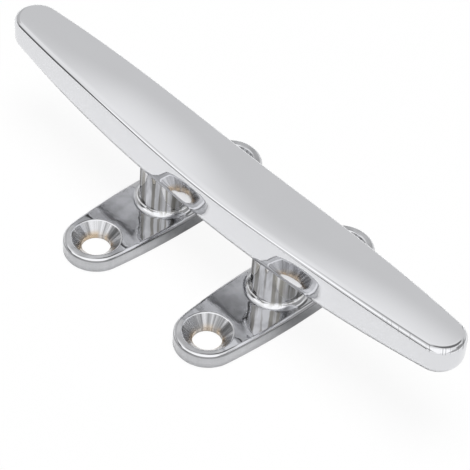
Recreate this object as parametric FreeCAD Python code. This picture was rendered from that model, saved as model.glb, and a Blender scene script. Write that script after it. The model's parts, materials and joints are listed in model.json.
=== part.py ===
import FreeCAD, Part
import math
import os

# All dimensions are in millimetres. The horn runs along X, the mounting face is at Z = 0, and the part is the same
# on both sides of X = 0 and of Y = 0.

# Horn: a boat-shaped bar, widest at its middle
HORN_LENGTH = 203.0
HORN_WIDTH = 24.1
HORN_WIDTH_HALFWAY = 21.7
TIP_RADIUS = 7.9
TIP_TAPER = 6.2
TOP_AT_MIDDLE = 37.0
TOP_AT_HALFWAY = 38.8
TOP_AT_TIP = 40.0
CROWN = 0.5
UNDER_AT_MIDDLE = 22.0
UNDER_AT_HALFWAY = 23.4
UNDER_AT_TIP = 28.8
TOP_EDGE_ROUND = 1.9
UNDER_EDGE_ROUND = 4.6

# Feet: two plates across the horn
FOOT_SPACING = 54.0
FOOT_THICKNESS = 5.2
FOOT_WIDTH = 25.0
FOOT_END_RADIUS = 10.8
FOOT_EDGE_ROUND = 1.2

# Countersunk holes, at the centre of each foot end
HOLE_SPACING = 59.4
HOLE_DIAMETER = 9.6
COUNTERSINK_DIAMETER = 16.4
COUNTERSINK_RIM_ROUND = 0.8

# Legs: oval posts that stand on what the foot leaves flat, a little longer along the horn than across it
LEG_DEPTH = 17.0
LEG_TO_FOOT_BLEND = 2.4
LEG_TO_HORN_BLEND = 1.8
LEG_SHELF = 0.2
LEG_LENGTH = FOOT_WIDTH - 2 * (FOOT_EDGE_ROUND + LEG_TO_FOOT_BLEND + LEG_SHELF)

NEAR = 0.01
V = FreeCAD.Vector
UP = V(0, 0, 1)
DOWN = V(0, 0, -1)


def boat_outline(half_length, half_width, end_radius):
    """Closed outline along X: two long arcs and a round end at each side, all tangent."""
    reach = half_length - end_radius
    drop = half_width - end_radius
    long_radius = (reach * reach + drop * drop) / (2 * drop) + end_radius
    scale = long_radius / (long_radius - end_radius)
    touch_x = reach * scale
    touch_y = (half_width - long_radius) * (1 - scale)
    corners = [V(-touch_x, touch_y, 0), V(touch_x, touch_y, 0), V(touch_x, -touch_y, 0), V(-touch_x, -touch_y, 0)]
    middles = [V(0, half_width, 0), V(half_length, 0, 0), V(0, -half_width, 0), V(-half_length, 0, 0)]
    arcs = [Part.Arc(corners[i], middles[i], corners[(i + 1) % 4]).toShape() for i in range(4)]
    return Part.Face(Part.Wire(arcs))


def horn_outline():
    """Closed outline of the horn: a smooth long side on each hand, tangent to a round tip at each end."""
    slope = math.radians(TIP_TAPER)
    half = HORN_LENGTH / 2
    x = half - TIP_RADIUS + TIP_RADIUS * math.sin(slope)
    y = TIP_RADIUS * math.cos(slope)
    stations = [(-x, y), (-half / 2, HORN_WIDTH_HALFWAY / 2), (0, HORN_WIDTH / 2), (half / 2, HORN_WIDTH_HALFWAY / 2),
                (x, y)]
    edges = []
    for hand in (1, -1):
        points = [V(px * hand, py * hand, 0) for px, py in stations]
        start = V(math.cos(slope), math.sin(slope), 0) * hand
        finish = V(math.cos(slope), -math.sin(slope), 0) * hand
        side = Part.BSplineCurve()
        side.interpolate(Points=points, InitialTangent=start * HORN_LENGTH / 2, FinalTangent=finish * HORN_LENGTH / 2)
        tip = Part.Arc(points[-1], V(half * hand, 0, 0), V(points[-1].x, -points[-1].y, 0))
        edges += [side.toShape(), tip.toShape()]
    return Part.Face(Part.Wire(edges))


def height_curve(at_middle, at_halfway, at_tip, y, reach):
    """Smooth curve along the horn at one Y, level at the middle, that runs a little past both tips."""
    past = at_tip + (at_tip - at_halfway) * (reach - 1) * 2
    stations = [(-reach, past), (-1, at_tip), (-0.5, at_halfway), (0, at_middle)]
    stations += [(-x, z) for x, z in reversed(stations[:3])]
    curve = Part.BSplineCurve()
    curve.interpolate([V(x * HORN_LENGTH / 2, y, z) for x, z in stations])
    return curve.toShape()


def side_profile(y, reach=1.05):
    """Closed side view of the horn at one Y, with the top lowered by the crown towards the edges."""
    fall = CROWN * (2 * y / HORN_WIDTH) ** 2
    top = height_curve(TOP_AT_MIDDLE - fall, TOP_AT_HALFWAY - fall, TOP_AT_TIP - fall, y, reach)
    under = height_curve(UNDER_AT_MIDDLE, UNDER_AT_HALFWAY, UNDER_AT_TIP, y, reach)
    ends = [Part.LineSegment(top.Vertexes[i].Point, under.Vertexes[i].Point).toShape() for i in (0, -1)]
    return Part.Wire(Part.__sortEdges__([top, ends[1], under, ends[0]]))


def face_towards(body, direction):
    """The face that looks most along a direction at its middle."""
    def agreement(face):
        u0, u1, v0, v1 = face.ParameterRange
        return face.normalAt((u0 + u1) / 2, (v0 + v1) / 2).dot(direction)
    return max(body.Faces, key=agreement)


def horn():
    """Blank with a crowned top, cut to the boat outline, with its long edges rounded."""
    side = HORN_WIDTH * 0.6
    blank = Part.makeLoft([side_profile(y) for y in (-side, 0, side)], True)
    outline = horn_outline().extrude(V(0, 0, 2 * max(TOP_AT_MIDDLE, TOP_AT_TIP)))
    bar = blank.common(outline)
    bar = bar.makeFillet(UNDER_EDGE_ROUND, face_towards(bar, DOWN).Edges)
    return bar.makeFillet(TOP_EDGE_ROUND, face_towards(bar, UP).Edges)


def foot(x):
    """Plate across the horn with round ends and a rounded top edge."""
    half_length = HOLE_SPACING / 2 + FOOT_END_RADIUS
    face = boat_outline(half_length, FOOT_WIDTH / 2, FOOT_END_RADIUS)
    face.rotate(V(0, 0, 0), UP, 90)
    plate = face.extrude(UP * FOOT_THICKNESS)
    plate = plate.makeFillet(FOOT_EDGE_ROUND, face_towards(plate, UP).Edges)
    plate.translate(V(x, 0, 0))
    return plate


def leg(x):
    """Oval post from the foot into the horn."""
    long_side, short_side = max(LEG_LENGTH, LEG_DEPTH), min(LEG_LENGTH, LEG_DEPTH)
    oval = Part.Ellipse(V(x, 0, 0), long_side / 2, short_side / 2).toShape()
    if LEG_DEPTH > LEG_LENGTH:
        oval.rotate(V(x, 0, 0), UP, 90)
    top = (UNDER_AT_HALFWAY + TOP_AT_MIDDLE) / 2
    return Part.Face(Part.Wire(oval)).extrude(V(0, 0, top))


def round_leg_ends(body):
    """Blends at both ends of each leg: the edges that follow the oval on the foot and under the horn."""
    def follows_oval(edge):
        if edge.BoundBox.ZLength > LEG_DEPTH / 4:
            return False
        for t in (0.0, 0.3, 0.7):
            p = edge.valueAt(edge.FirstParameter + t * (edge.LastParameter - edge.FirstParameter))
            x = (abs(p.x) - FOOT_SPACING / 2) / (LEG_LENGTH / 2)
            y = p.y / (LEG_DEPTH / 2)
            if abs(x * x + y * y - 1) > NEAR:
                return False
        return True
    on_foot = [e for e in body.Edges if follows_oval(e) and e.BoundBox.ZMax < FOOT_THICKNESS + NEAR]
    body = body.makeFillet(LEG_TO_FOOT_BLEND, on_foot)
    under_horn = [e for e in body.Edges if follows_oval(e) and e.BoundBox.ZMin > FOOT_THICKNESS + LEG_TO_FOOT_BLEND]
    return body.makeFillet(LEG_TO_HORN_BLEND, under_horn)


def fastener_hole(x, y):
    """Straight hole with a ninety-degree countersink from the top of the foot."""
    radius, rim = HOLE_DIAMETER / 2, COUNTERSINK_DIAMETER / 2
    seat = FOOT_THICKNESS - (rim - radius)
    over = 1.0
    straight = Part.makeCylinder(radius, FOOT_THICKNESS + 2 * over, V(x, y, -over))
    cone = Part.makeCone(radius, rim + over, rim - radius + over, V(x, y, seat))
    return straight.fuse(cone)


def rims(body):
    """Top edges of the four countersinks."""
    found = []
    for edge in body.Edges:
        curve = edge.Curve
        if isinstance(curve, Part.Circle) and abs(curve.Radius - COUNTERSINK_DIAMETER / 2) < NEAR:
            if abs(edge.BoundBox.ZMin - FOOT_THICKNESS) < NEAR:
                found.append(edge)
    return found


def cleat():
    sides = (-FOOT_SPACING / 2, FOOT_SPACING / 2)
    body = horn().fuse([leg(x) for x in sides] + [foot(x) for x in sides])
    body = round_leg_ends(body.removeSplitter())
    for x in sides:
        for y in (-HOLE_SPACING / 2, HOLE_SPACING / 2):
            body = body.cut(fastener_hole(x, y))
    return body.makeFillet(COUNTERSINK_RIM_ROUND, rims(body))


os.makedirs("parts", exist_ok=True)
solids = cleat().Solids
print("solids", len(solids), "valid", solids[0].isValid(), "volume", round(solids[0].Volume), "faces", len(solids[0].Faces))
solids[0].exportStep("parts/cleat.step")
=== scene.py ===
import json
import math

import bmesh
import bpy
from mathutils import Matrix, Vector


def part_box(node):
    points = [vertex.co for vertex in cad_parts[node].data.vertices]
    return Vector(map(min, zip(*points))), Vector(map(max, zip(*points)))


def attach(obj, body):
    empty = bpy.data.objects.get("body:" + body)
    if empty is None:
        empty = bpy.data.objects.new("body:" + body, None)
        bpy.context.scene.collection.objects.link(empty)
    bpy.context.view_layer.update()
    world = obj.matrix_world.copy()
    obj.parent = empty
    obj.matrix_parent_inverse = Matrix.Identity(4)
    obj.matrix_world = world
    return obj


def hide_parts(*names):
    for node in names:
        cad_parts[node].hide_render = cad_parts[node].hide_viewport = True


bl_info = {
    "name": "Mooring Cleat",
    "version": (1, 0, 0),
    "blender": (4, 5, 0),
    "location": "3D Viewport > Sidebar > Cleat",
    "description": "Polished cast mooring cleat with a boat-shaped horn, oval legs and countersunk feet",
    "category": "Object",
}

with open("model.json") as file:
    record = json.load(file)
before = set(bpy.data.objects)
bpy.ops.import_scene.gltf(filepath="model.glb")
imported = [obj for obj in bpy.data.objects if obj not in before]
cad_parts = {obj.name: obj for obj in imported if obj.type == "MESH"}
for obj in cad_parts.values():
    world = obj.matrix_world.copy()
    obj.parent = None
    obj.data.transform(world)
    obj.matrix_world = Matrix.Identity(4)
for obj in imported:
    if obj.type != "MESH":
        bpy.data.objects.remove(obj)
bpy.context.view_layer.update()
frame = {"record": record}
_, CLEAT_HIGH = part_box("cleat")
BOLT_PATTERN = next(m["dims"] for m in frame["record"]["mounts"] if m["name"] == "deck_bolts")
MM = 0.001
AXIS = Vector((0, 0, 1))

# How finely each form is divided
TIP_STEPS = 14
HORN_SIDE_STEPS = 66
FOOT_END_STEPS = 20
FOOT_SIDE_STEPS = 22
CIRCLE_STEPS = 112
ROUND_STEPS = 8
UNDER_ROUND_STEPS = 10
CROWN_STEPS = 8
WALL_STEPS = 4
PATCH_STEPS = 5
FOOT_CORNER_STEPS = 3
HOLE_CORNER_STEPS = 4
SETTLING_ROUNDS = 30
# A flat face starts this far beyond a rounding, so that it shades flat
FLAT_MARGIN = 0.05 * MM
MERGE_DISTANCE = 0.001 * MM
# The underside is opened round a leg by this many times their blend's radius along the horn, and up to this share
# of what lies between the leg and the horn's side
OPENING_REACH = 1.6
OPENING_MARGIN = 1 / 3
# Step over which the slope of the underside is measured
SLOPE_STEP = 0.1 * MM

# Numbers of the casting's materials. A face in a hole is turned from this share of the rim's rounding inwards, and a
# face low down is ground where it faces down at least this much.
POLISHED, TURNED, GROUND = 0, 1, 2
TURNED_INSIDE = 0.3
FACING_DOWN = -0.9

# Patterns of the finish: waves per metre along X, Y and Z, and the detail of the noise
SLOW_WAVES = (70.0, 70.0, 70.0), 1.0
LOW_WAVES = (190.0, 190.0, 15.2), 1.0
HAZE = (260.0, 260.0, 260.0), 2.0
LONG_SCRATCHES = (150.0, 3200.0, 3200.0), 3.0
CROSS_SCRATCHES = (2600.0, 260.0, 900.0), 2.0
CASTING_TONE = (40.0, 40.0, 40.0), 2.0
# Mottle of the painted shade and painted dark reflections on the foot tops
FOOT_TOP_SHADE_MOTTLE = (150.0, 150.0, 150.0), 2.0
FOOT_SIDE_GRAIN = (900.0, 900.0, 120.0), 3.0
# Streaks down the legs that paint dark reflections
LEG_REFLECTION_STREAKS = (700.0, 700.0, 30.0), 3.0
GROUND_LINES = (90.0, 2400.0, 1.0), 3.0
# Patterns round a hole and along the tip's edge: scale and detail
CONE_STREAKS = 7.0, 4.0
# The broad patches round a hole are painted light and dark reflections
CONE_REFLECTION_PATCHES = 1.6, 1.0
CONE_RINGS = 5200.0, 1.0
TIP_MARKS = 1500.0, 1.0
# How much the pattern of a countersink changes over a metre, and the shares of its streaks and of its patches
CONE_DRIFT = (3.0, 3.0, 3.0)
CONE_SHARES = 0.7, 0.3

# Where each pattern begins and is full, and in the second group also how strong it is at both
HAZE_SPREAD = 0.35, 0.75
SHADE_MOTTLE_SPREAD = 0.35, 0.65
CONE_SPREAD = 0.36, 0.62
ROUGHNESS_SPREAD = 0.3, 0.7

LEG_REFLECTION_SPREAD = 0.42, 0.60, 0.10, 1.0
TIP_MARKS_SPREAD = 0.57, 0.63, 0.0, 0.7
TARNISH_SPREAD = 0.35, 0.6, 0.25, 0.95

# Darkest and lightest share of the steel's reflectance in each finish
CASTING_TONES = 0.97, 1.03
# The foot tops are darkened as painted shade and painted dark reflections
FOOT_TOP_SHADE_TONES = 0.58, 0.78
# The sides of the feet are darkened as painted shade, the shadow that they reflect near the floor
FOOT_SIDE_SHADE_TONES = 0.60, 0.76
# The turned steel's dark end paints reflections in the countersinks as well as turning streaks
TURNED_AND_PAINTED_REFLECTION_TONES = 0.32, 0.85
GROUND_TONES = 0.6, 0.9
# The dark line round each foot's edge rounding is a painted reflection
PAINTED_RIM_LINE_TONE = 0.38
# The marks near one tip are also darkened as painted breaks in the edge's highlight
TIP_MARK_PAINTED_DARK_TONE = 0.35
# Shares of a finish's roughness where its pattern is weakest and strongest
MIRROR_ROUGHNESS = 0.8, 1.5
TURNED_ROUGHNESS = 1.3, 0.7
GROUND_ROUGHNESS = 0.8, 1.2

# Where each finish starts and where it is full, by height or by the upward part of the surface's direction
LOW_WAVES_HEIGHT = 24.0 * MM, 18.0 * MM
FEET_AND_LEGS_HEIGHT = 21.5 * MM, 20.0 * MM
FLAT_DIRECTION = 0.93, 0.995
EDGE_BELOW_TOP = 0.99, 0.93
EDGE_ABOVE_SIDE = 0.1, 0.3
# The same along the horn, for the marks near one tip
TIP_MARKS_REACH = 74.0 * MM, 84.0 * MM
# The same in shares of the foot's edge rounding, below the top of the foot
# This dark line is a painted reflection
PAINTED_RIM_LINE = 0.32, 0.48
SATIN_SIDE = 0.75, 1.0
# The same by height above the bottom of the countersink's cone
TARNISH_HEIGHT = 1.4 * MM, -0.3 * MM

# Studio light. Matt surfaces get soft light from all round and more from a large lamp overhead, which add up to 1.
# Gloss shows a sky that goes by elevation, as pairs of degrees and brightness, with soft panels on it. A panel is
# azimuth and elevation in degrees, radius of its even part and of its soft edge in degrees, and brightness.
SOFT_LIGHT = 0.25
OVERHEAD_LAMP = (0.0, 90.0, 16.0, 22.0, 7.3)
SKY_LEVELS = ((0.0, 1.15), (7.0, 1.15), (12.0, 0.42), (30.0, 0.42), (46.0, 1.0))
SOFT_PANELS = (
    (205.0, 28.0, 31.0, 35.5, 0.74),
    (262.0, 26.0, 18.0, 26.0, 0.60),
    (222.0, 66.0, 15.0, 25.0, 1.05),
    (283.0, 66.0, 5.0, 9.0, 0.50),
    (198.0, 62.0, 14.0, 17.0, 0.20),
    (338.0, 20.0, 8.0, 12.0, 0.85),
    (342.0, 4.0, 7.0, 11.0, 0.12),
    (314.0, 23.0, 8.0, 12.0, 0.10),
    (327.0, 40.0, 9.0, 13.0, 1.40),
    (350.0, 42.0, 12.0, 17.0, 1.28),
    (42.0, 45.0, 33.0, 41.0, 1.30),
    (250.0, 69.0, 6.0, 9.0, 0.42),
    (136.0, 36.0, 12.0, 18.0, 0.35),
)
# Share of plain white that gloss sees in the floor
GLOSSY_LIFT = 0.05
FLOOR_ROUGHNESS = 0.9
WHITE = (1.0, 1.0, 1.0, 1.0)
SENSOR_WIDTH = 36.0


def length(name, description, default):
    return bpy.props.FloatProperty(name=name, description=description, default=default, unit="LENGTH")


class HornSizes(bpy.types.PropertyGroup):
    """Sizes of the boat-shaped horn"""
    half_length: length("Half length", "Middle of the horn to its tip", CLEAT_HIGH.x)
    width: length("Width", "Width at the middle", 24.1 * MM)
    width_halfway: length("Width halfway", "Width halfway to the tip", 21.7 * MM)
    tip_radius: length("Tip radius", "Radius of the round tip seen from above", 7.9 * MM)
    tip_taper: bpy.props.FloatProperty(
        name="Tip taper", description="Angle of each long side where it meets the tip",
        default=math.radians(6.2), unit="ROTATION")
    top_middle: length("Top at the middle", "Height of the top at the middle", 37.0 * MM)
    top_halfway: length("Top halfway", "Height of the top halfway to the tip", 38.8 * MM)
    top_tip: length("Top at the tip", "Height of the top at the tip", 40.0 * MM)
    crown: length("Crown", "Fall of the top from its centre line to its edges", 0.5 * MM)
    under_middle: length("Underside at the middle", "Height of the underside at the middle", 22.0 * MM)
    under_halfway: length("Underside halfway", "Height of the underside halfway to the tip", 23.4 * MM)
    under_tip: length("Underside at the tip", "Height of the underside at the tip", 28.8 * MM)
    top_round: length("Top edge rounding", "Radius of the edge round the top", 1.9 * MM)
    under_round: length("Lower edge rounding", "Radius of the edge round the underside", 4.6 * MM)


class FootSizes(bpy.types.PropertyGroup):
    """Sizes of the feet, their holes and the legs on them"""
    spacing: length("Spacing", "Middle of one foot to the other", BOLT_PATTERN["spacing_x_mm"] * MM)
    thickness: length("Thickness", "Thickness of each foot", 5.2 * MM)
    width: length("Width", "Width of each foot at its middle", 25.0 * MM)
    end_radius: length("End radius", "Radius of each round end",
                       CLEAT_HIGH.y - BOLT_PATTERN["spacing_y_mm"] / 2 * MM)
    edge_round: length("Edge rounding", "Radius of the edge round the top of the foot", 1.2 * MM)
    corner: length("Lower corner", "Broken corner round the mounting face and in the holes", 0.15 * MM)
    hole_spacing: length("Hole spacing", "Centre of one hole of a foot to the other",
                         BOLT_PATTERN["spacing_y_mm"] * MM)
    hole_radius: length("Hole radius", "Radius of each hole", BOLT_PATTERN["hole_r_mm"] * MM)
    countersink_radius: length("Countersink radius", "Radius of each countersink at the top", 8.2 * MM)
    rim_round: length("Countersink rim", "Radius of the rounded rim of each countersink", 0.8 * MM)
    leg_length: length("Leg length", "Size of each oval leg along the horn", 17.4 * MM)
    leg_depth: length("Leg depth", "Size of each oval leg across the horn", 17.0 * MM)
    leg_foot_blend: length("Blend to the foot", "Radius between each leg and its foot", 2.4 * MM)
    leg_horn_blend: length("Blend to the horn", "Radius between each leg and the horn", 1.8 * MM)


class SteelFinish(bpy.types.PropertyGroup):
    """Finish of the casting: polished all over, turned in the holes and ground underneath"""
    colour: bpy.props.FloatVectorProperty(
        name="Steel", description="Reflectance of the polished steel", default=(0.73, 0.735, 0.755),
        subtype="COLOR", size=3, min=0, max=1)
    roughness: bpy.props.FloatProperty(
        name="Roughness", description="Roughness of the mirror polish", default=0.035, min=0, max=1)
    waviness: length("Waviness", "Height of the waves that hand polishing leaves", 0.006 * MM)
    low_waviness: length("Waviness below", "Height of the waves on the feet and the legs", 0.08 * MM)
    scratches: length("Scratches", "Depth of the fine polishing scratches", 0.0004 * MM)
    tip_marks: length("Tip marks", "Depth of the fine marks across the edge near one tip", 0.012 * MM)
    satin: bpy.props.FloatProperty(
        name="Satin sides", description="Roughness of the sides of the feet, which are polished less", default=0.2,
        min=0, max=1)
    # Colour of the painted reflections that run as streaks down the legs
    streaks: bpy.props.FloatVectorProperty(
        name="Streaks", description="Colour of the dull streaks down the legs", default=(0.33, 0.32, 0.295),
        subtype="COLOR", size=3, min=0, max=1)
    rings: length("Rings", "Depth of the turning rings in the countersinks", 0.004 * MM)
    turned: bpy.props.FloatProperty(
        name="Turned", description="Roughness of the turned countersinks and holes", default=0.26, min=0, max=1)
    tarnish: bpy.props.FloatVectorProperty(
        name="Tarnish", description="Warm tint deep in the holes", default=(0.50, 0.40, 0.29),
        subtype="COLOR", size=3, min=0, max=1)
    ground: bpy.props.FloatProperty(
        name="Ground", description="Roughness of the ground mounting face", default=0.38, min=0, max=1)


class StudioSettings(bpy.types.PropertyGroup):
    """Camera, floor and soft light"""
    azimuth: bpy.props.FloatProperty(
        name="Azimuth", description="Direction of the camera round the cleat", default=math.radians(43.913),
        unit="ROTATION")
    elevation: bpy.props.FloatProperty(
        name="Elevation", description="Height of the camera above the horizon", default=math.radians(44.230),
        unit="ROTATION")
    roll: bpy.props.FloatProperty(
        name="Roll", description="Turn of the camera about its own axis", default=math.radians(4.858),
        unit="ROTATION")
    distance: length("Distance", "Camera to the point that it looks at", 694.96 * MM)
    focal_length: bpy.props.FloatProperty(
        name="Focal length", description="Focal length on a 36 mm wide sensor, in millimetres", default=161.025)
    aim: bpy.props.FloatVectorProperty(
        name="Aim", description="Point on the floor that the camera looks at",
        default=(-2.874 * MM, 9.875 * MM, 0), subtype="TRANSLATION", size=3)
    floor_size: length("Floor size", "Side of the square floor", 6.0)
    floor_colour: bpy.props.FloatVectorProperty(
        name="Floor", description="Colour of the floor", default=(0.96, 0.96, 0.96), subtype="COLOR",
        size=3, min=0, max=1)
    shadow_lift: bpy.props.FloatProperty(
        name="Shadow lift", description="Share of plain white that the camera sees in the floor", default=0.92,
        min=0, max=1)


def smooth_curve(stations, last_slope):
    """Cubic through stations that start at the middle, level there, with a given slope at the last one."""
    places, heights = zip(*stations)
    gaps = [b - a for a, b in zip(places, places[1:])]
    rises = [(b - a) / gap for a, b, gap in zip(heights, heights[1:], gaps)]
    slopes = [0.0] + rises[1:] + [last_slope]
    for _ in range(SETTLING_ROUNDS):
        for i in range(1, len(gaps)):
            before, after = gaps[i - 1], gaps[i]
            pull = 3 * (after * rises[i - 1] + before * rises[i])
            slopes[i] = (pull - after * slopes[i - 1] - before * slopes[i + 1]) / (2 * (before + after))

    def at(x):
        """Height and slope at x, which are the same on both sides of the middle."""
        hand, x = math.copysign(1, x), abs(x)
        i = max(k for k in range(len(gaps)) if places[k] <= x or k == 0)
        gap = gaps[i]
        t = (x - places[i]) / gap
        height = heights[i] * (1 + 2 * t) * (1 - t) ** 2 + heights[i + 1] * t * t * (3 - 2 * t)
        height += gap * (slopes[i] * t * (1 - t) ** 2 + slopes[i + 1] * t * t * (t - 1))
        slope = (heights[i + 1] - heights[i]) * 6 * t * (1 - t) / gap
        slope += slopes[i] * (3 * t - 1) * (t - 1) + slopes[i + 1] * t * (3 * t - 2)
        return height, slope * hand

    return at


class HornForm:
    """The horn's curves, worked out from its sizes."""

    def __init__(self, sizes):
        self.sizes = sizes
        half, radius, taper = sizes.half_length, sizes.tip_radius, sizes.tip_taper
        self.tip_start = half - radius + radius * math.sin(taper)
        stations = [(0, sizes.width / 2), (half / 2, sizes.width_halfway / 2),
                    (self.tip_start, radius * math.cos(taper))]
        self.side = smooth_curve(stations, -math.tan(taper))
        self.top_line = self.height_curve(sizes.top_middle, sizes.top_halfway, sizes.top_tip)
        self.under_line = self.height_curve(sizes.under_middle, sizes.under_halfway, sizes.under_tip)

    def height_curve(self, middle, halfway, tip):
        half = self.sizes.half_length
        return smooth_curve([(0, middle), (half / 2, halfway), (half, tip)], 2 * (tip - halfway) / half)

    def top(self, x, y):
        """Height of the crowned top and its slopes along X and Y."""
        height, slope = self.top_line(x)
        half_width = self.sizes.width / 2
        return height - self.sizes.crown * (y / half_width) ** 2, slope, -2 * self.sizes.crown * y / half_width ** 2

    def under(self, x, _y):
        """Height of the underside and its slopes along X and Y, without the edge rounding."""
        height, slope = self.under_line(x)
        return height, slope, 0.0

    def rounded_under(self, x, y):
        """Height of the underside with its edge rounding, near the legs."""
        side, lean = self.side(x)
        radius = self.sizes.under_round
        into = max(0.0, radius - (side - abs(y)) / math.hypot(1, lean))
        return self.under_line(x)[0] + radius - math.sqrt(radius ** 2 - into ** 2)

    def outline(self):
        """Places and outward directions round the horn, seen from above."""
        radius, quarter = self.sizes.tip_radius, []
        for k in range(TIP_STEPS):
            turn = (math.pi / 2 - self.sizes.tip_taper) * k / TIP_STEPS
            out = Vector((math.cos(turn), math.sin(turn), 0))
            quarter.append((Vector((self.sizes.half_length - radius, 0, 0)) + radius * out, out))
        for k in range(HORN_SIDE_STEPS + 1):
            x = self.tip_start * (1 - k / HORN_SIDE_STEPS)
            y, slope = self.side(x)
            quarter.append((Vector((x, y, 0)), Vector((-slope, 1, 0)).normalized()))
        return whole_outline(quarter)


def whole_outline(quarter):
    """Mirrors a quarter outline, from the end on +X to the middle on +Y, into a closed one."""
    loop = []
    for hand_x, hand_y, way in ((1, 1, 1), (-1, 1, -1), (-1, -1, 1), (1, -1, -1)):
        hand = Vector((hand_x, hand_y, 0))
        loop += [(place * hand, out * hand) for place, out in quarter[::way][:-1]]
    return loop


def foot_outline(sizes, x):
    """Places and outward directions round one foot: long arcs at its sides and round ends."""
    radius = sizes.end_radius
    reach, drop = sizes.hole_spacing / 2, sizes.width / 2 - radius
    long_radius = (reach ** 2 + drop ** 2) / (2 * drop) + radius
    meeting = math.asin(reach / (long_radius - radius))
    quarter = []
    for k in range(FOOT_END_STEPS):
        turn = (math.pi / 2 - meeting) * k / FOOT_END_STEPS
        out = Vector((math.sin(turn), math.cos(turn), 0))
        quarter.append((Vector((0, reach, 0)) + radius * out, out))
    for k in range(FOOT_SIDE_STEPS + 1):
        turn = meeting * (1 - k / FOOT_SIDE_STEPS)
        out = Vector((math.cos(turn), math.sin(turn), 0))
        quarter.append((Vector((sizes.width / 2 - long_radius, 0, 0)) + long_radius * out, out))
    turned = [(place.yxz, out.yxz) for place, out in quarter]
    return [(place.yxz + Vector((x, 0, 0)), out.yxz) for place, out in whole_outline(turned)]


def ball_section(radius, rise, steps):
    """Rounding between an upright wall and a face that rises outwards: (inset, height) from wall to face.

    Heights count from where the face would meet the wall."""
    centre = radius * math.hypot(1, rise) - radius * rise
    sweep = math.pi / 2 - math.atan(rise)
    turns = [sweep * k / steps for k in range(steps + 1)]
    return [(radius * (1 - math.cos(turn)), centre - radius * math.sin(turn)) for turn in turns]


def edge_rounding(outline, radius, face, upwards, steps):
    """Rings from the wall over the rounded edge to a face, which is above or below the wall."""
    sign = -1 if upwards else 1
    columns = []
    for place, out in outline:
        inset = radius
        for _ in range(SETTLING_ROUNDS):
            contact = place - out * inset
            height, slope_x, slope_y = face(contact.x, contact.y)
            rise = sign * (slope_x * out.x + slope_y * out.y)
            inset = radius * (1 - rise / math.hypot(1, rise))
        at_wall = height + sign * rise * inset
        columns.append([place - out * s + AXIS * (at_wall + sign * h) for s, h in ball_section(radius, rise, steps)])
    return [list(ring) for ring in zip(*columns)]


def start_ring(bm, places):
    """A closed loop of new vertices at the places."""
    loop = bmesh.ops.create_circle(bm, segments=len(places), radius=MM)["verts"]
    for vertex, place in zip(loop, places):
        vertex.co = place
    return loop


def next_ring(bm, loop, places):
    """Extrudes a closed loop once and moves the new vertices to the places."""
    edges = [bm.edges.get(pair) for pair in zip(loop, loop[1:] + loop[:1])]
    made = set(bmesh.ops.extrude_edge_only(bm, edges=edges)["geom"])
    ring = [next(e.other_vert(v) for e in v.link_edges if e.other_vert(v) in made) for v in loop]
    for vertex, place in zip(ring, places):
        vertex.co = place
    return ring


def follow(bm, loop, rings):
    """Extrudes a loop through several rings of places and returns the last loop."""
    for places in rings:
        loop = next_ring(bm, loop, places)
    return loop


def between(first, last, share):
    return [a.lerp(b, share) for a, b in zip(first, last)]


def model_horn(bm, form):
    """Closed horn: from the top of its wall up over the crown, and down round the underside."""
    sizes = form.sizes
    outline = form.outline()
    middle = sizes.half_length - sizes.tip_radius
    over = edge_rounding(outline, sizes.top_round, form.top, True, ROUND_STEPS)
    below = edge_rounding(outline, sizes.under_round, form.under, False, UNDER_ROUND_STEPS)

    def closing(last, face):
        """Rings that draw in to the centre line along the face."""
        spine = [Vector((max(-middle, min(middle, p.x)), 0, 0)) for p in last]
        for k in range(1, CROWN_STEPS + 1):
            flat = between(last, spine, k / CROWN_STEPS)
            yield [Vector((p.x, p.y, face(p.x, p.y)[0])) for p in flat]

    wall = start_ring(bm, over[0])
    top = follow(bm, wall, over[1:])
    follow(bm, top, closing(over[-1], form.top))
    low = follow(bm, wall, [between(over[0], below[0], k / WALL_STEPS) for k in range(1, WALL_STEPS + 1)])
    low = follow(bm, low, below[1:])
    follow(bm, low, closing(below[-1], form.under))
    bmesh.ops.remove_doubles(bm, verts=bm.verts, dist=MERGE_DISTANCE)
    bmesh.ops.recalc_face_normals(bm, faces=bm.faces)


def open_underside(bm, form, feet, x):
    """Takes out the underside round one leg and returns the opening's vertices in order round the leg."""
    half_length = feet.leg_length / 2 + feet.leg_horn_blend * OPENING_REACH
    margin = (form.side(x)[0] - feet.leg_depth / 2) * OPENING_MARGIN

    def over_leg(face):
        centre = face.calc_center_median()
        near = abs(centre.x - x) < half_length and form.side(centre.x)[0] - abs(centre.y) > margin
        return near and centre.z < form.sizes.top_middle / 2 + form.sizes.under_middle / 2

    bmesh.ops.delete(bm, geom=[f for f in bm.faces if over_leg(f)], context="FACES")
    rim = {v for e in bm.edges if e.is_boundary and abs(e.verts[0].co.x - x) < 2 * half_length for v in e.verts}
    return sorted(rim, key=lambda v: math.atan2(v.co.y, v.co.x - x))


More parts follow.
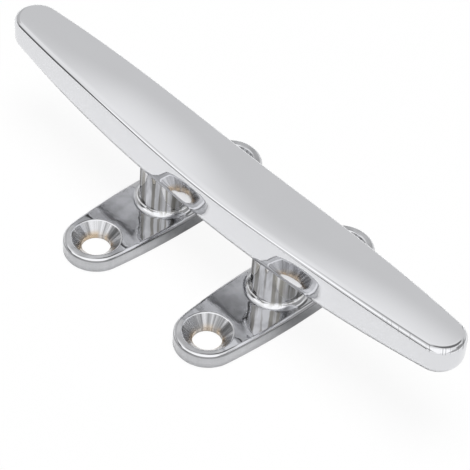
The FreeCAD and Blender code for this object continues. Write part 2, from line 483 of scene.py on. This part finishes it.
def leg_columns(form, feet, x, opening):
    """One column of places for each vertex of the opening: along the underside, down the leg and out on its foot."""
    half_length, half_depth = feet.leg_length / 2, feet.leg_depth / 2
    for vertex in opening:
        turn = math.atan2(vertex.co.y / half_depth, (vertex.co.x - x) / half_length)
        wall = Vector((x + half_length * math.cos(turn), half_depth * math.sin(turn), 0))
        out = Vector((math.cos(turn) / half_length, math.sin(turn) / half_depth, 0)).normalized()

        def on_underside(place):
            return Vector((place.x, place.y, form.rounded_under(place.x, place.y)))

        radius = reach = feet.leg_horn_blend
        for _ in range(SETTLING_ROUNDS):
            contact = on_underside(wall + out * reach)
            slope = (on_underside(wall + out * (reach + SLOPE_STEP)).z - contact.z) / SLOPE_STEP
            reach = radius * (1 - slope / math.hypot(1, slope))
        centre = contact.z - radius / math.hypot(1, slope)
        start = math.atan(slope)
        column = [on_underside(vertex.co.lerp(contact, k / PATCH_STEPS)) for k in range(1, PATCH_STEPS + 1)]
        for k in range(1, ROUND_STEPS + 1):
            swing = start + (math.pi / 2 - start) * k / ROUND_STEPS
            column.append(wall + out * radius * (1 - math.sin(swing)) + AXIS * (centre + radius * math.cos(swing)))
        foot_start = feet.thickness + feet.leg_foot_blend
        column += [wall + AXIS * (centre + (foot_start - centre) * k / WALL_STEPS) for k in range(1, WALL_STEPS + 1)]
        for inset, height in ball_section(feet.leg_foot_blend, 0, ROUND_STEPS)[1:]:
            column.append(wall + out * inset + AXIS * (feet.thickness + height))
        column.append(wall + out * (feet.leg_foot_blend + FLAT_MARGIN) + AXIS * feet.thickness)
        yield column


def model_leg(bm, form, feet, x):
    """Oval leg from the horn's underside down to its foot; returns its last loop, which lies on the foot."""
    opening = open_underside(bm, form, feet, x)
    rings = zip(*leg_columns(form, feet, x, opening))
    return follow(bm, opening, rings)


def model_hole(bm, feet, x, y):
    """Countersunk hole through a foot; returns its loops on the top and on the mounting face."""
    def circle(radius, height):
        turns = [2 * math.pi * k / CIRCLE_STEPS for k in range(CIRCLE_STEPS)]
        return [Vector((x + radius * math.cos(a), y + radius * math.sin(a), height)) for a in turns]

    def round_corner(radius, height, size, first, last):
        """Rings of a rounded corner, with the tool's angle going from first to last, in degrees."""
        half = math.radians(abs(last - first)) / 2
        way = math.radians((first + last) / 2)
        centre_r = radius + size / math.cos(half) * math.cos(way + math.pi)
        centre_z = height + size / math.cos(half) * math.sin(way + math.pi)
        steps = range(HOLE_CORNER_STEPS + 1)
        turns = [math.radians(first + (last - first) * k / HOLE_CORNER_STEPS) for k in steps]
        return [circle(centre_r + size * math.cos(a), centre_z + size * math.sin(a)) for a in turns]

    rim, bore = feet.countersink_radius, feet.hole_radius
    seat = feet.thickness - (rim - bore)
    rings = round_corner(rim, feet.thickness, feet.rim_round, 90, 135)
    rings += round_corner(bore, seat, feet.corner, 135, 180)
    rings += round_corner(bore, 0, feet.corner, 180, 270)
    edge = rings[0][0].x - x + FLAT_MARGIN
    top = start_ring(bm, circle(edge, feet.thickness))
    foot_face = rings[-1][0].x - x + FLAT_MARGIN
    return top, follow(bm, top, rings + [circle(foot_face, 0)])


def model_foot(bm, feet, x, leg_loop):
    """Foot plate round the end of its leg, with its two countersunk holes."""
    def flat(_x, _y):
        return feet.thickness, 0.0, 0.0

    def ground(_x, _y):
        return 0.0, 0.0, 0.0

    outline = foot_outline(feet, x)
    over = edge_rounding(outline, feet.edge_round, flat, True, ROUND_STEPS)
    below = edge_rounding(outline, feet.corner, ground, False, FOOT_CORNER_STEPS)
    inner = [place - out * (feet.edge_round + FLAT_MARGIN) + AXIS * feet.thickness for place, out in outline]
    bottom = [place - out * (feet.corner + FLAT_MARGIN) for place, out in outline]
    wall = start_ring(bm, over[0])
    top_loop = follow(bm, wall, over[1:] + [inner])
    bottom_loop = follow(bm, wall, below + [bottom])
    holes = [model_hole(bm, feet, x, hand * feet.hole_spacing / 2) for hand in (1, -1)]
    fill(bm, [top_loop, leg_loop] + [top for top, _ in holes])
    fill(bm, [bottom_loop] + [low for _, low in holes])


def fill(bm, loops):
    """Fills a flat face between an outer loop and the loops inside it."""
    edges = [bm.edges.get(pair) for loop in loops for pair in zip(loop, loop[1:] + loop[:1])]
    bmesh.ops.triangle_fill(bm, use_beauty=True, use_dissolve=False, edges=edges, normal=AXIS)


def new_piece(name, bm):
    mesh = bpy.data.meshes.new(name)
    bm.to_mesh(mesh)
    bm.free()
    for polygon in mesh.polygons:
        polygon.use_smooth = True
    piece = bpy.data.objects.new(name, mesh)
    bpy.context.scene.collection.objects.link(piece)
    return piece


class CLEAT_OT_casting(bpy.types.Operator):
    """Model the cleat as one casting: horn, legs and countersunk feet"""
    bl_idname = "cleat.casting"
    bl_label = "Casting"

    def execute(self, context):
        form, feet = HornForm(context.scene.cleat_horn), context.scene.cleat_feet
        bm = bmesh.new()
        model_horn(bm, form)
        for x in (-feet.spacing / 2, feet.spacing / 2):
            model_foot(bm, feet, x, model_leg(bm, form, feet, x))
        bmesh.ops.recalc_face_normals(bm, faces=bm.faces)
        casting = new_piece("polished_casting", bm)
        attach(casting, "root")
        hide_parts("cleat")
        finish = context.scene.cleat_finish
        casting.data.materials.append(polished_steel(finish, feet, polish_group()))
        casting.data.materials.append(turned_steel(finish, feet))
        casting.data.materials.append(ground_steel(finish))
        for polygon in casting.data.polygons:
            polygon.material_index = finish_number(polygon, feet)
        return {"FINISHED"}


class NodeMaker:
    """Adds shader nodes to a tree, with values or links on their inputs."""

    def __init__(self, tree):
        self.tree = tree

    def add(self, kind, inputs=(), **settings):
        node = self.tree.nodes.new("ShaderNode" + kind)
        for name, value in settings.items():
            setattr(node, name, value)
        for socket, value in dict(inputs).items():
            self.put(node, socket, value)
        return node

    def put(self, node, socket, value):
        if isinstance(value, bpy.types.NodeSocket):
            self.tree.links.new(value, node.inputs[socket])
        else:
            node.inputs[socket].default_value = value

    def math(self, operation, *values):
        return self.add("Math", enumerate(values), operation=operation).outputs[0]

    def vector(self, operation, *values):
        node = self.add("VectorMath", enumerate(values), operation=operation)
        return node.outputs["Value" if operation in ("LENGTH", "DOT_PRODUCT") else "Vector"]

    def ramp(self, value, low, high, first=0.0, last=1.0):
        """Smooth step of a value from low to high."""
        inputs = {"Value": value, "From Min": low, "From Max": high, "To Min": first, "To Max": last}
        return self.add("MapRange", inputs, interpolation_type="SMOOTHSTEP").outputs["Result"]

    def mix(self, share, first, last):
        return self.add("Mix", {0: share, 2: first, 3: last}, data_type="FLOAT").outputs[0]

    def mix_colour(self, share, first, last):
        return self.add("Mix", {0: share, 6: first, 7: last}, data_type="RGBA").outputs[2]

    def noise(self, vector, scale, detail):
        return self.add("TexNoise", {"Vector": vector, "Scale": scale, "Detail": detail}).outputs["Fac"]

    def pattern(self, place, waves, detail):
        """Noise with its own number of waves per metre in each direction."""
        return self.noise(self.vector("MULTIPLY", place, waves), 1.0, detail)

    def tones(self, share, steel, darkest, lightest):
        """The steel's colour from its darkest to its lightest share."""
        return self.mix_colour(share, (*(steel * darkest), 1), (*(steel * lightest), 1))

    def roughness(self, value, spread, plain, shares):
        """Roughness that goes with a pattern, between two shares of its plain value."""
        return self.ramp(value, *spread, *(plain * share for share in shares))


def new_group(name, inputs, outputs):
    """A shader node group with its sockets, and the maker for its tree."""
    group = bpy.data.node_groups.new(name, "ShaderNodeTree")
    for in_out, sockets in (("INPUT", inputs), ("OUTPUT", outputs)):
        for socket, kind in sockets:
            group.interface.new_socket(socket, in_out=in_out, socket_type="NodeSocket" + kind)
    maker = NodeMaker(group)
    return group, maker, group.nodes.new("NodeGroupInput").outputs, group.nodes.new("NodeGroupOutput")


def polish_group():
    """Marks of hand polishing: slow waves, fine scratches in two directions and a haze mask."""
    group, make, given, out = new_group(
        "polish_marks",
        [("Place", "Vector"), ("Waviness", "Float"), ("Low Waviness", "Float"), ("Scratches", "Float")],
        [("Height", "Float"), ("Haze", "Float")])
    height = make.add("SeparateXYZ", {"Vector": given["Place"]}).outputs["Z"]
    waves = make.pattern(given["Place"], *SLOW_WAVES)
    low = make.pattern(given["Place"], *LOW_WAVES)
    lines = make.math(
        "ADD", make.pattern(given["Place"], *LONG_SCRATCHES), make.pattern(given["Place"], *CROSS_SCRATCHES))
    rise = make.math("MULTIPLY", waves, given["Waviness"])
    low = make.math("MULTIPLY", low, make.ramp(height, *LOW_WAVES_HEIGHT))
    rise = make.math("MULTIPLY_ADD", low, given["Low Waviness"], rise)
    rise = make.math("MULTIPLY_ADD", lines, given["Scratches"], rise)
    make.put(out, "Height", rise)
    make.put(out, "Haze", make.ramp(make.pattern(given["Place"], *HAZE), *HAZE_SPREAD))
    return group


def steel_material(name):
    """A metal material, its node maker, its shader and object coordinates."""
    material = bpy.data.materials.new(name)
    material.use_nodes = True
    make = NodeMaker(material.node_tree)
    shader = material.node_tree.nodes["Principled BSDF"]
    shader.inputs["Metallic"].default_value = 1.0
    place = make.add("TexCoord").outputs["Object"]
    return material, make, shader, place


def polished_steel(finish, feet, marks):
    """Mirror-polished cast steel with the faint marks of hand polishing, wavier on the feet and the legs and satin
    on the sides of the feet; its colour is darkened on the feet, the legs, the rims of the feet and in marks near
    one tip as painted shade and painted reflections.
    """
    material, make, shader, place = steel_material("polished_steel")
    parts = make.add("SeparateXYZ", {"Vector": place}).outputs
    upward = make.add("SeparateXYZ", {"Vector": make.add("NewGeometry").outputs["Normal"]}).outputs["Z"]
    steel = Vector(finish.colour)

    def under_foot_top(first, last):
        """Mask that starts and is full at shares of the edge rounding below the top of the foot."""
        return make.ramp(
            parts["Z"], feet.thickness - feet.edge_round * first, feet.thickness - feet.edge_round * last)

    polish = make.add(
        "Group", {"Place": place, "Waviness": finish.waviness, "Low Waviness": finish.low_waviness,
                  "Scratches": finish.scratches}, node_tree=marks)
    below = make.ramp(parts["Z"], *FEET_AND_LEGS_HEIGHT)
    marks_and_painted_breaks = tip_marks(make, parts, upward)
    satin = under_foot_top(*SATIN_SIDE)

    colour = make.tones(make.pattern(place, *CASTING_TONE), steel, *CASTING_TONES)
    # Foot tops: a darker mottled colour paints the shade and the dark reflections under the horn
    shade_mottle = make.ramp(make.pattern(place, *FOOT_TOP_SHADE_MOTTLE), *SHADE_MOTTLE_SPREAD)
    painted_foot_top_shade = make.math("MULTIPLY", below, make.ramp(upward, *FLAT_DIRECTION))
    colour = make.mix_colour(painted_foot_top_shade, colour, make.tones(shade_mottle, steel, *FOOT_TOP_SHADE_TONES))
    # Legs: dark streaks in the colour are painted reflections
    legs = make.math("MULTIPLY", below, make.ramp(parts["Z"], feet.thickness, feet.thickness + feet.leg_foot_blend))
    streaks = make.ramp(make.pattern(place, *LEG_REFLECTION_STREAKS), *LEG_REFLECTION_SPREAD)
    colour = make.mix_colour(make.math("MULTIPLY", legs, streaks), colour, (*finish.streaks, 1))
    # A dark line round the foot's edge rounding paints a dark reflection
    colour = make.mix_colour(under_foot_top(*PAINTED_RIM_LINE), colour, (*(steel * PAINTED_RIM_LINE_TONE), 1))
    # Marks near one tip: real cuts, darkened in colour as painted breaks in the highlight
    colour = make.mix_colour(marks_and_painted_breaks, colour, (*(steel * TIP_MARK_PAINTED_DARK_TONE), 1))
    # Sides of the feet: grain in a darker colour that paints the reflected shade near the floor
    painted_dark = make.tones(make.pattern(place, *FOOT_SIDE_GRAIN), steel, *FOOT_SIDE_SHADE_TONES)

    rough = make.roughness(polish.outputs["Haze"], (0, 1), finish.roughness, MIRROR_ROUGHNESS)
    rise = make.math("MULTIPLY_ADD", marks_and_painted_breaks, -finish.tip_marks, polish.outputs["Height"])
    bump = make.add("Bump", {"Height": rise, "Distance": 1.0, "Strength": 1.0})
    make.put(shader, "Base Color", make.mix_colour(satin, colour, painted_dark))
    make.put(shader, "Roughness", make.mix(satin, rough, finish.satin))
    make.put(shader, "Normal", bump.outputs["Normal"])
    return material


def tip_marks(make, parts, upward):
    """Mask of the fine marks across the rounded top edge near one tip of the horn, which are cut into the surface
    and also darkened in colour as painted breaks in the edge's highlight.
    """
    edge = make.math("MULTIPLY", make.ramp(upward, *EDGE_BELOW_TOP), make.ramp(upward, *EDGE_ABOVE_SIDE))
    near_tip = make.math("MULTIPLY", edge, make.ramp(parts["X"], *TIP_MARKS_REACH))
    along = make.add("CombineXYZ", {"X": make.math("ADD", parts["X"], parts["Y"])}).outputs[0]
    return make.math("MULTIPLY", near_tip, make.ramp(make.noise(along, *TIP_MARKS), *TIP_MARKS_SPREAD))


def turned_steel(finish, feet):
    """Turned countersinks and holes: streaks that run down the cone, with broad light and dark patches round each
    hole that are painted reflections, and a warm tint deep inside.
    """
    material, make, shader, place = steel_material("turned_steel")
    centre = (feet.spacing / 2, feet.hole_spacing / 2, 0.0)
    parts = make.add("SeparateXYZ", {"Vector": place})
    flat = make.add("CombineXYZ", {"X": parts.outputs["X"], "Y": parts.outputs["Y"]}).outputs[0]
    offset = make.vector("SUBTRACT", make.vector("ABSOLUTE", flat), centre)
    around = make.vector("NORMALIZE", offset)
    far = make.vector("MULTIPLY_ADD", flat, CONE_DRIFT, around)
    streaks = make.noise(far, *CONE_STREAKS)
    broad = make.noise(far, *CONE_REFLECTION_PATCHES)
    radius = make.vector("LENGTH", offset)
    rings = make.noise(make.add("CombineXYZ", {"X": radius}).outputs[0], *CONE_RINGS)
    streaks_share, broad_share = CONE_SHARES
    tone = make.math("MULTIPLY_ADD", streaks, streaks_share, make.math("MULTIPLY", broad, broad_share))
    colour = make.tones(make.ramp(tone, *CONE_SPREAD), Vector(finish.colour), *TURNED_AND_PAINTED_REFLECTION_TONES)
    seat = feet.thickness - (feet.countersink_radius - feet.hole_radius)
    deep = make.ramp(parts.outputs["Z"], *(seat + height for height in TARNISH_HEIGHT))
    patchy = make.math("MULTIPLY", deep, make.ramp(broad, *TARNISH_SPREAD))
    bump = make.add("Bump", {"Height": rings, "Distance": finish.rings, "Strength": 1.0})
    make.put(shader, "Base Color", make.mix_colour(patchy, colour, (*finish.tarnish, 1)))
    make.put(shader, "Roughness", make.roughness(tone, ROUGHNESS_SPREAD, finish.turned, TURNED_ROUGHNESS))
    make.put(shader, "Normal", bump.outputs["Normal"])
    return material


def ground_steel(finish):
    """Mounting face, ground in one direction."""
    material, make, shader, place = steel_material("ground_steel")
    lines = make.pattern(place, *GROUND_LINES)
    make.put(shader, "Base Color", make.tones(lines, Vector(finish.colour), *GROUND_TONES))
    make.put(shader, "Roughness", make.roughness(lines, ROUGHNESS_SPREAD, finish.ground, GROUND_ROUGHNESS))
    return material


def finish_number(polygon, feet):
    """Number of a face's material, from where the face lies and which way it faces."""
    x, y, z = polygon.center
    off_axis = math.hypot(abs(x) - feet.spacing / 2, abs(y) - feet.hole_spacing / 2)
    if off_axis < feet.countersink_radius - feet.rim_round * TURNED_INSIDE:
        return TURNED
    return GROUND if z < feet.corner / 2 and polygon.normal.z < FACING_DOWN else POLISHED


def direction(azimuth, elevation):
    """Unit vector towards a place in the studio; azimuth 0 is on the -Y side, 90 on the +X side, in degrees."""
    turn, lift = math.radians(azimuth), math.radians(elevation)
    return Vector((math.sin(turn) * math.cos(lift), -math.cos(turn) * math.cos(lift), math.sin(lift)))


def studio_world():
    """White surroundings for the camera and plain soft light, with a dome of soft panels that only gloss shows."""
    world = bpy.data.worlds.new("studio")
    bpy.context.scene.world = world
    world.use_nodes = True
    make = NodeMaker(world.node_tree)
    background = world.node_tree.nodes["Background"]
    towards = make.add("TexCoord").outputs["Generated"]

    def with_panels(level, panels):
        for azimuth, elevation, inner, outer, brightness in panels:
            near = make.vector("DOT_PRODUCT", towards, direction(azimuth, elevation))
            mask = make.ramp(near, math.cos(math.radians(outer)), math.cos(math.radians(inner)))
            level = make.mix(mask, level, brightness)
        return level

    rays = make.add("LightPath").outputs
    height = make.add("SeparateXYZ", {"Vector": towards}).outputs["Z"]
    sky = SKY_LEVELS[0][1]
    for (low, _), (high, brightness) in zip(SKY_LEVELS, SKY_LEVELS[1:]):
        share = make.ramp(height, math.sin(math.radians(low)), math.sin(math.radians(high)))
        sky = make.mix(share, sky, brightness)
    matt, gloss = with_panels(SOFT_LIGHT, [OVERHEAD_LAMP]), with_panels(sky, SOFT_PANELS)
    seen = make.mix(rays["Is Glossy Ray"], matt, gloss)
    seen = make.mix(rays["Is Camera Ray"], seen, 1.0)
    make.put(background, "Strength", seen)
    make.put(background, "Color", WHITE)


def floor_material(studio):
    """Pale matt floor that the camera sees lighter, with the shadow still on it."""
    material = bpy.data.materials.new("pale_floor")
    material.use_nodes = True
    make = NodeMaker(material.node_tree)
    tree = material.node_tree
    shader = tree.nodes["Principled BSDF"]
    shader.inputs["Roughness"].default_value = FLOOR_ROUGHNESS
    shader.inputs["Specular IOR Level"].default_value = 0.0
    shader.inputs["Base Color"].default_value = (*studio.floor_colour, 1)
    rays = make.add("LightPath").outputs
    share = make.math("MULTIPLY", rays["Is Camera Ray"], studio.shadow_lift)
    share = make.math("MULTIPLY_ADD", rays["Is Glossy Ray"], GLOSSY_LIFT, share)
    white = make.add("Emission", {"Color": WHITE, "Strength": 1.0})
    mixed = make.add("MixShader", {0: share, 1: shader.outputs[0], 2: white.outputs[0]})
    make.put(tree.nodes["Material Output"], "Surface", mixed.outputs[0])
    return material


def place_camera(studio):
    camera = bpy.data.objects.new("camera", bpy.data.cameras.new("camera"))
    bpy.context.scene.collection.objects.link(camera)
    back = direction(math.degrees(studio.azimuth), math.degrees(studio.elevation))
    right = AXIS.cross(back).normalized()
    turned = Matrix.Rotation(studio.roll, 3, back) @ right
    sides = Matrix((turned, back.cross(turned), back)).transposed()
    camera.matrix_world = Matrix.Translation(Vector(studio.aim) + back * studio.distance) @ sides.to_4x4()
    camera.data.sensor_width = SENSOR_WIDTH
    camera.data.lens = studio.focal_length
    bpy.context.scene.camera = camera


class CLEAT_OT_studio(bpy.types.Operator):
    """Set the floor, the soft light and the camera"""
    bl_idname = "cleat.studio"
    bl_label = "Studio"

    def execute(self, context):
        studio = context.scene.cleat_studio
        bm = bmesh.new()
        bmesh.ops.create_grid(bm, x_segments=1, y_segments=1, size=studio.floor_size / 2)
        floor = new_piece("floor", bm)
        floor.data.materials.append(floor_material(studio))
        studio_world()
        place_camera(studio)
        context.scene.view_settings.view_transform = "Standard"
        return {"FINISHED"}


class CLEAT_PT_panel(bpy.types.Panel):
    """Steps of the cleat and their settings"""
    bl_idname = "CLEAT_PT_panel"
    bl_label = "Mooring Cleat"
    bl_space_type = "VIEW_3D"
    bl_region_type = "UI"
    bl_category = "Cleat"

    def draw(self, context):
        for operator, groups in STEPS:
            for name, _ in groups:
                settings = getattr(context.scene, name)
                for key in settings.bl_rna.properties.keys():
                    if key not in ("rna_type", "name"):
                        self.layout.prop(settings, key)
            self.layout.operator(operator.bl_idname)


STEPS = (
    (CLEAT_OT_casting, (("cleat_horn", HornSizes), ("cleat_feet", FootSizes), ("cleat_finish", SteelFinish))),
    (CLEAT_OT_studio, (("cleat_studio", StudioSettings),)),
)


def register():
    for operator, groups in STEPS:
        for name, group in groups:
            bpy.utils.register_class(group)
            setattr(bpy.types.Scene, name, bpy.props.PointerProperty(type=group))
        bpy.utils.register_class(operator)
    bpy.utils.register_class(CLEAT_PT_panel)


def unregister():
    bpy.utils.unregister_class(CLEAT_PT_panel)
    for operator, groups in reversed(STEPS):
        bpy.utils.unregister_class(operator)
        for name, group in reversed(groups):
            delattr(bpy.types.Scene, name)
            bpy.utils.unregister_class(group)


def main():
    register()
    bpy.ops.cleat.casting()
    bpy.ops.cleat.studio()


if __name__ == "__main__":
    main()
